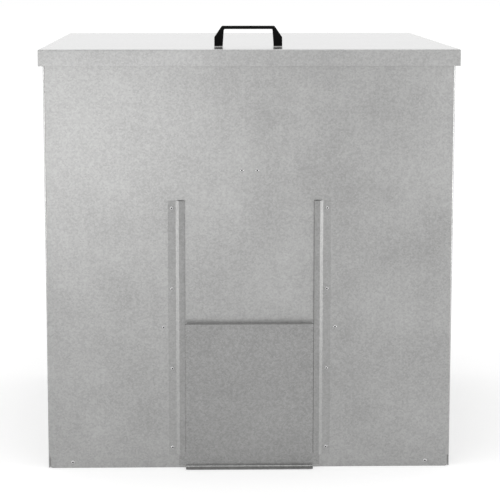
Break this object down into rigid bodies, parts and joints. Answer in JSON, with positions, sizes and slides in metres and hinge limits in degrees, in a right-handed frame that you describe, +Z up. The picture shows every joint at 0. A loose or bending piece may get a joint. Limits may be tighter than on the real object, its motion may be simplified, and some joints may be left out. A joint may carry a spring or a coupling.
{
  "type": "coal bunker",
  "caption": "Free-standing galvanised sheet-steel coal bunker with a hinged lid, a black bow handle and a guillotine gate sliding in rails over its shovel hatch.",
  "frame": {"origin": "centre of the footprint, on the ground", "axes": "+X to the right seen from the front, +Y from front to back, +Z up"},
  "size_m": [0.883, 0.896, 0.9446],
  "materials": {
    "panel_sheet": "galvanised, fine spangle",
    "inner_sheet": "galvanised, fine spangle",
    "rail_sheet": "galvanised, fine spangle",
    "gate_sheet": "galvanised, fine spangle",
    "lid_sheet": "galvanised, fine spangle",
    "rivet_metal": "satin",
    "hinge_plate": "zinc plated",
    "pin_steel": "bright",
    "handle_plastic": "fine satin",
    "pad_plastic": "matt",
    "screw_steel": "zinc plated"
  },
  "bodies": {
    "bunker_body": {"front_panel": "panel_sheet", "back_panel": "panel_sheet", "left_side_panel": "panel_sheet", "right_side_panel": "panel_sheet", "floor_pan": "inner_sheet", "hatch_lintel": "inner_sheet", "tie_strap": "inner_sheet", "left_gate_rail": "rail_sheet", "right_gate_rail": "rail_sheet", "rail_rivets": "rivet_metal", "left_hinge_lower_leaf": "hinge_plate", "right_hinge_lower_leaf": "hinge_plate", "left_hinge_pin": "pin_steel", "right_hinge_pin": "pin_steel"},
    "lid_body": {"lid": "lid_sheet", "handle": "handle_plastic", "handle_pads": "pad_plastic", "handle_screws": "screw_steel", "left_hinge_upper_leaf": "hinge_plate", "right_hinge_upper_leaf": "hinge_plate"},
    "gate_body": {"sliding_gate": "gate_sheet"}
  },
  "joints": [
    {"name": "lid_hinge", "type": "hinge", "parent": "bunker_body", "child": "lid_body", "pos_m": [0, 0.4364, 0.86], "axis": [-1, 0, 0], "range_deg": [0, 145]},
    {"name": "gate_slide", "type": "slide", "parent": "bunker_body", "child": "gate_body", "axis": [0, 0, 1], "range_m": [0, 0.322]}
  ]
}
